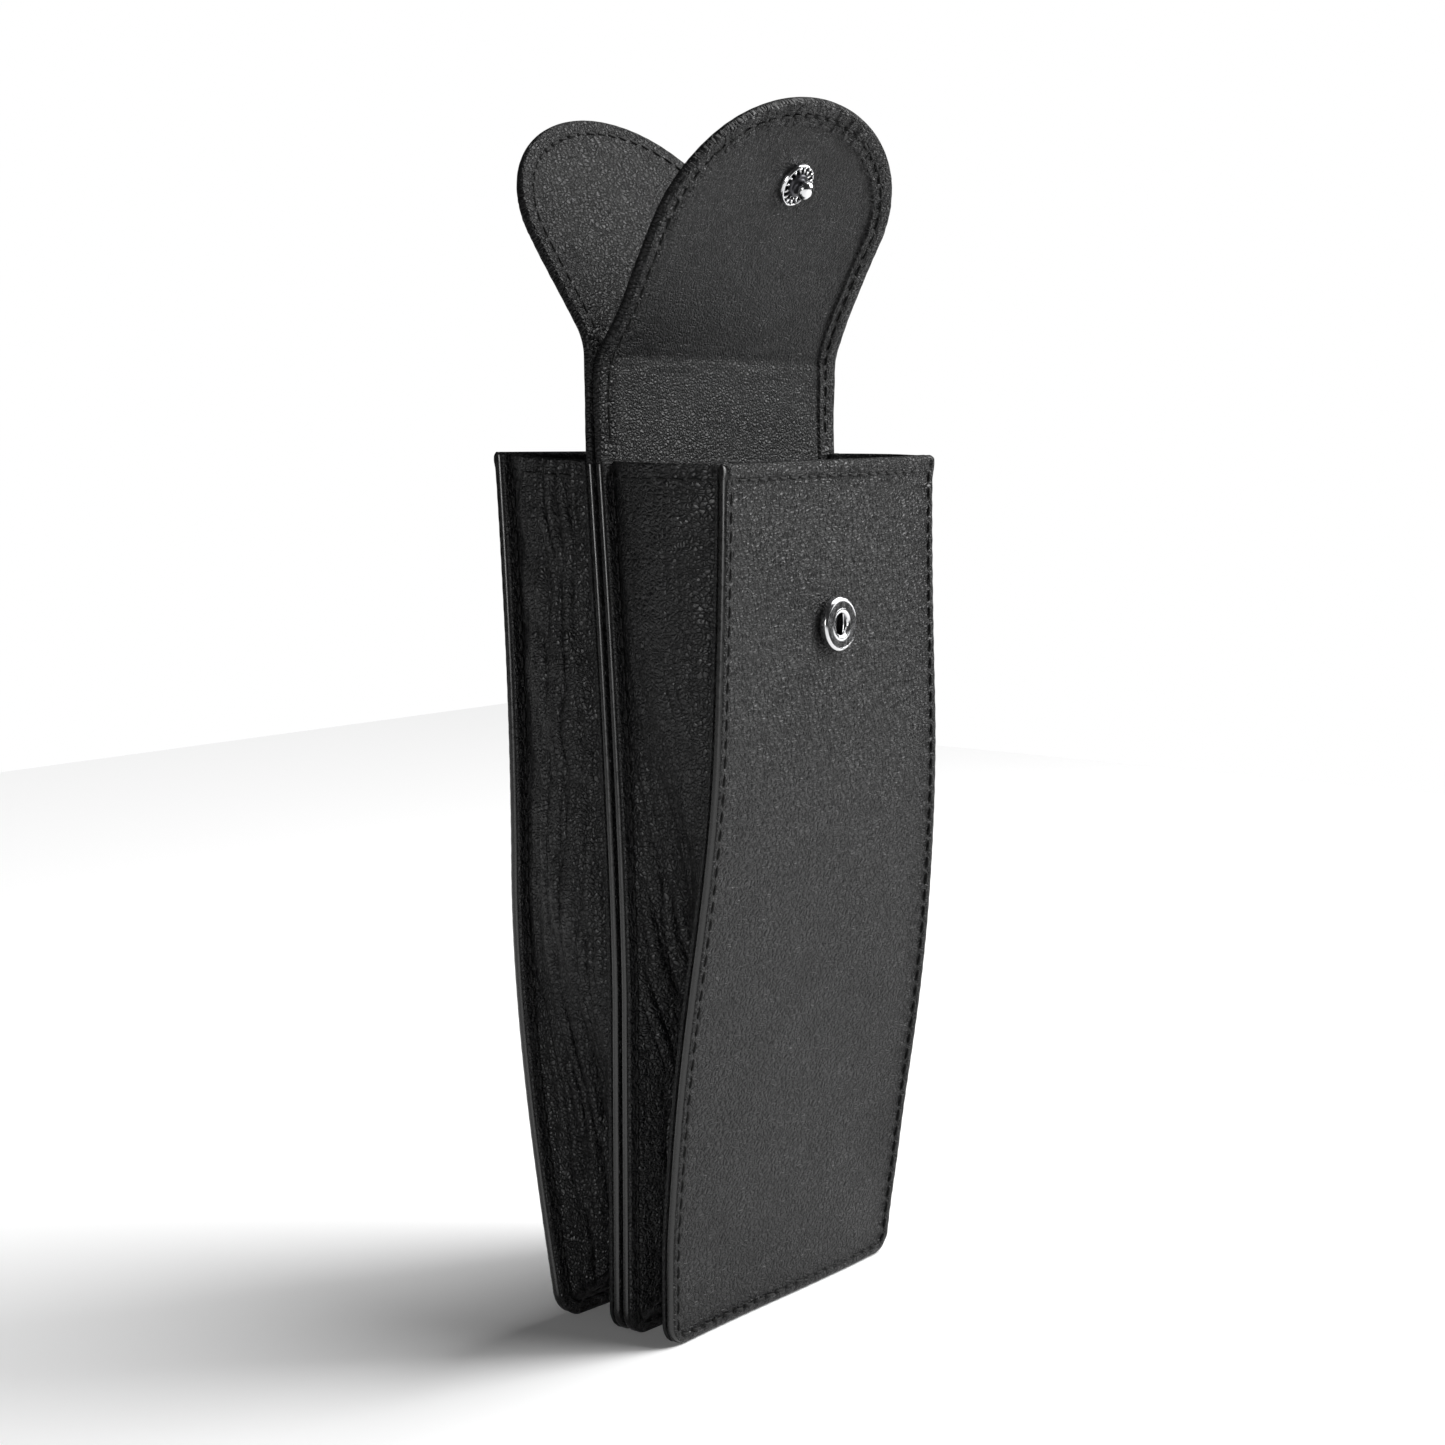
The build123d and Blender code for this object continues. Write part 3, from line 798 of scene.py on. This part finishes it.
def tongue_outline(side):
    """Left half of the upper flap: straight neck edge, then an elliptic end. w runs up from the split."""
    straight = FLAP_STRAIGHT[side] - SPLIT
    end = FLAP_TOTAL - FLAP_STRAIGHT[side]
    rows = np.linspace(0, straight, int(straight / 0.5))
    half = HALF_WIDTH + (FLAP_HALF[side] - HALF_WIDTH) * ease((rows + SPLIT - 12) / 22)
    turn = np.linspace(0, math.pi / 2, 150)[1:-1]
    arc_x = -FLAP_HALF[side] * np.cos(turn)
    arc_w = straight + end * np.sin(turn)
    outline = np.concatenate([stack(-half, rows), stack(arc_x, arc_w)])
    target_w = np.concatenate([rows, straight + 4.0 * np.sin(turn)])
    return outline, stack(np.zeros(len(outline)), target_w), np.full(len(outline), NEAR[-1])


def skin_row(side, label, x, v, upper, *nodes):
    """Rows of stitches on both faces of the leather. The one inside stands for the solids."""
    middle, normal = skin_surface(side, x, v)
    half = skin_thickness(v) / 2 - 0.1
    for face, way in (("inner", 1), ("outer", -1)):
        line = middle + normal * way * half[:, None]
        solids = nodes if way > 0 else ()
        seam(side, f"{label}_{face}", line, normal * way, skin_bodies(side, upper), *solids)


def flap_seams(side, left_outline):
    """Stitches round the flap and down its neck, cut at the split like the leather."""
    outline = mirrored(left_outline)
    tangent = unit(np.gradient(outline, axis=0))
    line = outline + stack(tangent[:, 1], -tangent[:, 0]) * FLAP_SEAM
    skin_row(side, "flap_seam", line[:, 0], SPLIT + line[:, 1], True, "tongue_seam", "neck_seam")
    v = np.linspace(SPLIT, FLAP_BASE, 30)
    for label, way in (("left", -1), ("right", 1)):
        x = np.full_like(v, way * (HALF_WIDTH - FLAP_SEAM))
        skin_row(side, f"neck_seam_{label}", x, v, False)


# --- gussets


def web_depth(side, t, z):
    """How far the bellows folds in (or bulges out), t of the way from the back to the outer wall."""
    if side == FRONT:
        bulge, fold = 4.2 * ease((z - 60) / 70), 10.5 * ease((150 - z) / 80)
        crease = 0.2 + 0.3 * ease((150 - z) / 75)
    else:
        bulge, fold = 4.6 * ease((z - 40) / 50), 8.5 * ease((92 - z) / 60)
        crease = np.full_like(z, 0.42)
    tent = np.minimum(t / crease, (1 - t) / (1 - crease))
    tent = 1 - np.sqrt((1 - tent) ** 2 + 0.008)
    return fold * tent - bulge * np.sin(math.pi * t)


def gusset_path():
    """Outline down the left side, round the bottom and up the right side.

    Returns its points, the directions into the wall and into the pouch, and the length along it.
    """
    path = mirrored(panel_outline(HEIGHT)[0])
    inward = inward_from(unit(np.gradient(path, axis=0)))
    arc = arc_length(path)
    corner = HEIGHT - CORNER + CORNER * math.pi / 4
    from_end = np.minimum(arc, arc[-1] - arc)
    lean = ease((from_end - corner + 18) / 36) * math.pi / 2
    sign = np.where(arc < arc[-1] / 2, 1.0, -1.0)
    fold_way = stack(sign * np.cos(lean), -np.sin(lean))
    return path, inward, fold_way, arc


def wrinkles(side, across, z, way):
    """Height of the soft leather's wrinkles over the bellows, in mm."""
    away = (4 * across * (1 - across)) ** 0.5
    if side == FRONT:
        drift = across * 24 + z * 0.16 * ease((z - 20) / 60) + 1.2 * noise(z / 12, way * 3.0, seed=64)
        broad = 0.5 * noise(drift / 5, z / 26 + way * 7, seed=61)
        fine = 0.42 * creased(drift / 2.3, z / 12, way, seed=63)
        fine = fine + 0.14 * creased(drift / 1.2, z / 5, way, seed=66)
        return (broad + fine) * away * (0.45 + 0.55 * ease((150 - z) / 70))
    drift = across * 26 + 1.6 * noise(z / 14, way * 3.0, seed=65)
    broad = 0.6 * noise(drift / 4, z / 30 + way * 5, seed=67)
    fine = 0.5 * creased(drift / 1.9, z / 15, way, seed=69)
    fine = fine + 0.2 * creased(drift / 1.1, z / 5, way, seed=71)
    tuck = -3.5 * bump_at(z, 14, 8) * bump_at(across, 0.25, 0.16)
    return (broad + fine) * away + tuck * away


BAND_CUTS = (146, 116, 86, 56, 26)  # heights at which the bellows is cut into bands
FLANGE_STEPS = np.array([0, 0.07, 0.2, 0.4, 0.65, 0.95, 1.3, 1.6, 1.85, 2.1, 2.35, 2.6, 2.9])
WEB_STEPS = np.linspace(0, 1, 67)


def gusset_middle(side, path, inward, fold_way):
    """Middle surface of the bellows strip: back flange, folded web, flange on the outer wall."""
    back = lambda z: spine(z) + side * (SKIN_MIDDLE + SKIN / 2 + GUSSET / 2 + 0.04)
    front = lambda x, z: outer_face(side, x, z) - side * (WALL + GUSSET / 2 + 0.06)
    rise = lambda x, z, t: z + mouth_rise(side, x, z) * t
    columns = []
    for q in FLANGE_STEPS:
        x, w = (path + inward * q).T
        columns.append(stack(x, back(HEIGHT - w), HEIGHT - w))
    rest_x, rest_w = (path + inward * FLANGE).T
    low = back(HEIGHT - rest_w) + side * 0.3
    high = front(rest_x, HEIGHT - rest_w) - side * 0.3
    for t in WEB_STEPS:
        depth = web_depth(side, t, HEIGHT - path[:, 1])
        x, w = (path + inward * FLANGE + fold_way * depth[:, None]).T
        columns.append(stack(x, low + (high - low) * t, rise(rest_x, HEIGHT - w, t)))
    for q in FLANGE_STEPS[::-1]:
        x, w = (path + inward * q).T
        columns.append(stack(x, front(x, HEIGHT - w), rise(x, HEIGHT - w, 1)))
    return np.stack(columns, 1) + [SIDE_SHIFT, 0, 0]


def grid_normal(points, like=None):
    """Normals of a grid of points, facing out of the case or the same way as others."""
    normal = unit(np.cross(np.gradient(points, axis=0), np.gradient(points, axis=1)))
    if like is None:
        quarter, centre = points.shape[0] // 4, points.shape[1] // 2
        return normal if normal[quarter, centre, 0] < 0 else -normal
    return normal * np.sign(np.sum(normal * like))


def gusset(side):
    """Bellows strip with a sewing flange on each long edge and a hem at each mouth end."""
    path, inward, fold_way, arc = gusset_path()
    middle = gusset_middle(side, path, inward, fold_way)
    zeros = np.zeros(middle.shape[:2])  # spreads a row or column of values over the grid
    ends = np.zeros(len(FLANGE_STEPS))
    across = np.concatenate([ends, WEB_STEPS, ends + 1])[None, :] + zeros
    way = (path[:, 0] > 0).astype(float)[:, None] + zeros
    height = wrinkles(side, across, middle[..., 2], way)
    middle = middle + grid_normal(middle) * height[..., None]
    normal = grid_normal(middle)
    web = np.full(len(WEB_STEPS), 9.0)  # far from the strip's own edges
    from_edge = np.concatenate([FLANGE_STEPS, web, FLANGE_STEPS[::-1]])[None, :] + zeros
    from_mouth = np.minimum(arc, arc[-1] - arc)[:, None] + zeros
    full = edge_round(np.minimum(from_edge, from_mouth), 0.5)
    hem = 0.2 * (1 - ease((from_mouth - MOUTH_SEAM - 0.3) / 0.6))
    gathers = 0.08 * creased(across * 15, 0.4, seed=73) * (hem > 0.05)
    hem = hem + sewn(from_mouth, across * 24, MOUTH_SEAM, 0.25) + gathers
    top, under = both_faces(middle, normal, full * (GUSSET / 2 + hem), full * GUSSET / 2)
    top_normal, under_normal = grid_normal(top, normal), -grid_normal(under, normal)
    run = arc_length(middle[len(arc) // 5])
    coords = stack(run[None, :] + zeros, arc[:, None] + zeros)
    bands(side, (top, under), (top_normal, under_normal), coords, path[:, 1], arc)


def band_bodies(side, at):
    """A band follows the back wall at one edge and the outer wall at the other."""
    back = spine(at) + side * 3.6
    front = outer_face(side, 0.0, at) - side * 4.0
    return ("case_body", f"{NAMES[side]}_wall", *[(0.0, float(y) * MM, at * MM) for y in (back, front)])


def bands(side, sheets, normals, coords, down, arc):
    """Cuts the gusset into bands that each bend between the walls, and sews its mouth ends."""
    name, count = NAMES[side], len(down)
    cuts = [0] + [int(np.argmax(down >= HEIGHT - z)) for z in BAND_CUTS]
    pieces = [("bottom", cuts[-1], count - 1 - cuts[-1], 13.0)]
    for low, high in zip(cuts, cuts[1:]):
        at = HEIGHT - (down[low] + down[high]) / 2
        pieces.append((f"left_{int(at)}", low, high, at))
        pieces.append((f"right_{int(at)}", count - 1 - high, count - 1 - low, at))
    for label, low, high, at in pieces:
        rows = slice(low, high + 1)
        piece = thick_sheet(
            f"{name}_gusset_{label}", [g[rows] for g in sheets], coords[rows], [GUSSET_LEATHER, LINING],
            normals=[n[rows] for n in normals],
        )
        nodes = ("gusset",) if label == "bottom" else ()
        finish_piece(piece, side, band_bodies(side, at), "gusset_leather", *nodes)
    row = int(np.argmin(np.abs(arc[: count // 2] - MOUTH_SEAM)))
    web = slice(len(FLANGE_STEPS), len(FLANGE_STEPS) + len(WEB_STEPS))
    body = band_bodies(side, HEIGHT - down[cuts[1]] / 2)
    for label, at in (("left", row), ("right", count - 1 - row)):
        line, facing = sheets[0][at, web], normals[0][at, web]
        seam(side, f"gusset_mouth_seam_{label}", line - facing * 0.05, facing, body)


def back_flange_seam(side):
    """Stitches on the gusset's flange along the back wall."""
    x, z = wall_line(EDGE_SEAM)
    slope = (spine(z + 0.5) - spine(z - 0.5)) * side
    normal = unit(stack(np.zeros_like(x), side * np.ones_like(x), -slope))
    y = spine(z) + side * (SKIN_MIDDLE + SKIN / 2 + GUSSET)
    line = stack(x + SIDE_SHIFT, y, z)
    seam(side, "back_seam", line, normal, "case_body", "back_seam")


# --- snap fasteners


def placed(points, place):
    """Points in mm moved from a frame of their own to its place on the case."""
    return points @ np.array(place.to_3x3()).T + np.array(place.translation)


def turned(side, label, body, profile, place, material, slot, *nodes):
    """Turned piece of a snap: profile is radius and height in mm, place is its frame."""
    steps = 72
    turn = 2 * math.pi * np.arange(steps) / steps
    profile = np.asarray(profile, float)
    radius = profile[:, :1]
    height = np.repeat(profile[:, 1:], steps, axis=1)
    points = stack(radius * np.cos(turn), radius * np.sin(turn), height).reshape(-1, 3)
    points = placed(points, place)
    faces = ring_faces(len(profile), steps)
    piece = make_object(f"{NAMES[side]}_{label}", points, faces, points[:, [0, 2]], [material])
    finish_piece(piece, side, f"{NAMES[side]}_{body}", slot, *nodes)


def rounded(points, radius=0.18, steps=4):
    """Rounds the corners of a profile line."""
    points = [np.array(p, float) for p in points]
    out = [points[0]]
    for a, b, c in zip(points, points[1:], points[2:]):
        cut = min(radius, np.linalg.norm(b - a) / 2.1, np.linalg.norm(c - b) / 2.1)
        start, end = b + unit(a - b) * cut, b + unit(c - b) * cut
        for t in np.linspace(0, 1, steps):
            out.append((1 - t) ** 2 * start + 2 * t * (1 - t) * b + t**2 * end)
    out.append(points[-1])
    return out


def frame_at(point, normal, across):
    """Frame at a point, with Z along the normal and X towards across."""
    z = Vector(normal).normalized()
    x = (Vector(across) - z * Vector(across).dot(z)).normalized()
    y = z.cross(x)
    made = Matrix((x, y, z)).transposed().to_4x4()
    made.translation = Vector(point)
    return made


def wire(name, points, radius, material):
    """Round wire through points given in mm."""
    curve = bpy.data.curves.new(name, "CURVE")
    curve.dimensions = "3D"
    curve.bevel_depth = radius * MM
    curve.bevel_resolution = 3
    curve.use_fill_caps = True
    spline = curve.splines.new("POLY")
    spline.points.add(len(points) - 1)
    for p, q in zip(spline.points, points):
        p.co = (*(np.array(q) * MM), 1)
    thing = add_object(name, curve)
    bpy.context.view_layer.update()
    mesh = bpy.data.meshes.new_from_object(thing)
    bpy.data.objects.remove(thing)
    bpy.data.curves.remove(curve)
    mesh.materials.clear()
    mesh.materials.append(material)
    mesh.polygons.foreach_set("use_smooth", np.ones(len(mesh.polygons), bool))
    return add_object(name, mesh)


def socket(side):
    """Lower half of the snap: thick flat ring on the wall with two spring wires in its hole."""
    name = NAMES[side]
    middle, normal = wall_surface(side, np.array(0.0), np.array(SOCKET_Z))
    place = frame_at(middle + normal * (WALL / 2 - 0.2), normal, (-side, 0, 0))
    ring = rounded([
        (2.9, 0.0), (5.35, 0.0), (5.5, 0.55), (5.5, 1.55), (5.05, 1.95), (4.7, 1.86),
        (3.3, 1.86), (2.9, 1.95), (2.3, 1.75), (2.15, 1.2), (2.15, 0.7), (2.9, 0.6),
    ])
    turned(side, "socket", "wall", ring, place, NICKEL, "snap_metal", "socket")
    cup = rounded([(2.9, 1.1), (2.9, -0.4), (0.0, -0.6)], 0.3)
    turned(side, "socket_cup", "wall", cup, place, DARK_METAL, "snap_metal")
    for label, x in (("a", -1), ("b", 1)):
        bend = np.linspace(-1, 1, 15)
        local = [Vector((x * (1.45 - 0.35 * u * u), 2.35 * u, 1.15)) for u in bend]
        spring = wire(f"{name}_socket_spring_{label}", [place @ p for p in local], 0.2, NICKEL)
        nodes = ("socket_spring",) if x < 0 else ()
        finish_piece(spring, side, f"{name}_wall", "spring_wire", *nodes)
    behind = frame_at(middle - normal * (WALL / 2 - 0.1), -normal, (side, 0, 0))
    washer = rounded([(0.0, 0.1), (2.0, 0.1), (2.6, 0.5), (4.3, 0.45), (4.5, 0.0)], 0.2)
    turned(side, "socket_washer", "wall", washer, behind, NICKEL, "rivet_metal", "socket_post")


def stud(side):
    """Upper half of the snap: ring of windows round a ball head."""
    middle, normal = skin_surface(side, np.array(STUD_X[side]), np.array(STUD_UP))
    lining = skin_thickness(STUD_UP) / 2 - 0.55
    place = frame_at(middle + normal * (lining - 0.2), normal, (-side, 0, 0))
    rim = rounded([(4.0, 0.2), (4.02, 0.8), (4.15, 0.95), (4.4, 0.85), (4.6, 0.45), (4.6, 0.0)], 0.12)
    turned(side, "stud", "tongue", rim, place, NICKEL, "snap_metal", "stud")
    bed = [(2.2, 0.25), (4.1, 0.25)]
    turned(side, "stud_bed", "tongue", bed, place, DARK_METAL, "snap_metal")
    collar = rounded([(2.6, 0.3), (2.5, 0.95), (2.2, 1.15), (1.7, 1.25), (1.5, 1.5), (1.45, 2.2)], 0.1)
    turned(side, "stud_collar", "tongue", collar, place, DARK_METAL, "snap_metal")
    rise = np.linspace(-0.75, math.pi / 2, 14)
    ball = [(1.98 * math.cos(a), 2.95 + 1.25 * math.sin(a)) for a in rise[:-1]] + [(0.0, 4.2)]
    turned(side, "stud_head", "tongue", ball, place, NICKEL, "snap_metal")
    petals(side, place)


def petals(side, place, count=16):
    """Bars between the windows of the stud's ring, as one mesh."""
    points, faces = [], []
    for n in range(count):
        turn = 2 * math.pi * n / count
        out = np.array([math.cos(turn), math.sin(turn), 0])
        side_way = np.array([-math.sin(turn), math.cos(turn), 0])
        base = len(points)
        for r, half in ((2.5, 0.14), (3.3, 0.2), (4.1, 0.3)):
            for h, scale in ((0.3, 1.0), (0.85, 1.0), (1.02, 0.55)):
                for sign in (-1, 1):
                    points.append(out * r + side_way * half * scale * sign + np.array([0, 0, h]))
        for k in range(2):
            a, b = base + k * 6, base + (k + 1) * 6
            ring = [0, 2, 4, 5, 3, 1]
            for i, j in zip(ring, ring[1:]):
                faces.append([a + i, a + j, b + j, b + i])
        faces.append([base + i for i in (0, 1, 3, 5, 4, 2)])
        faces.append([base + 12 + i for i in (0, 2, 4, 5, 3, 1)])
    points = placed(np.array(points), place)
    bars = make_object(f"{NAMES[side]}_stud_bars", points, faces, points[:, [0, 2]], [NICKEL])
    finish_piece(bars, side, f"{NAMES[side]}_tongue", "snap_metal")


# --- studio


ROOM_LIGHT = 0.03
SUN_POWER = 3.1
SOFTBOXES = (("right", (0.56, -0.43, 0.44), 0.36, 5.8), ("left", (-1.1, -0.4, 0.3), 0.35, 5.0))


def studio():
    """Pale floor under a broad soft sun, with one softbox to each side of the camera."""
    scene = bpy.context.scene
    scene.view_settings.view_transform = "Standard"
    bpy.ops.mesh.primitive_plane_add(size=1.5)
    floor = bpy.context.object
    floor.name = "studio_floor"
    floor.data.materials.append(shader("studio_floor", grey(0.95), 0.9, Specular_IOR_Level=0.1)[0])
    world = bpy.data.worlds.new("studio")
    world.use_nodes = True
    tree = world.node_tree
    rays = node(tree, "LightPath")
    room = tree.nodes["Background"]
    room.inputs["Color"].default_value = (1, 1, 1, 1)
    strength = remap(tree, rays.outputs["Is Camera Ray"], 0, 1, ROOM_LIGHT, 1.0)
    tree.links.new(strength, room.inputs["Strength"])
    scene.world = world
    sun = bpy.data.lights.new("sun", "SUN")
    sun.energy = SUN_POWER
    sun.angle = math.radians(50)
    aim_light(sun, (0.42, -0.22, 0.85))
    for name, place, size, power in SOFTBOXES:
        data = bpy.data.lights.new(name, "AREA")
        data.energy = power
        data.size = size
        aim_light(data, place)


def aim_light(data, place):
    """Lamp at a place in metres, facing the middle of the case."""
    lamp = add_object(data.name, data)
    lamp.location = place
    lamp.rotation_mode = "QUATERNION"
    lamp.rotation_quaternion = (Vector((0, 0, 0.12)) - Vector(place)).to_track_quat("-Z", "Y")


def camera():
    """Three-quarter view from the left of the front pouch, a little above its mouth."""
    azimuth, pitch = math.radians(-52.03), math.radians(7.16)
    back = Vector((
        math.sin(azimuth) * math.cos(pitch), -math.cos(azimuth) * math.cos(pitch), math.sin(pitch),
    ))
    data = bpy.data.cameras.new("camera")
    data.lens = 66.66
    data.sensor_width = 36.0
    data.clip_start = 0.01
    eye = add_object("camera", data)
    eye.location = (-0.43827, -0.33708 + SPINE_Y * MM, 0.19042)
    eye.rotation_mode = "QUATERNION"
    eye.rotation_quaternion = (-back).to_track_quat("-Z", "Y")
    bpy.context.scene.camera = eye


for pouch in (FRONT, REAR):
    wall(pouch)
    skins(pouch)
    gusset(pouch)
    back_flange_seam(pouch)
    socket(pouch)
    stud(pouch)
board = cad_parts["spine_board"]
board.data.materials.clear()
board.data.materials.append(LINING)
studio()
camera()
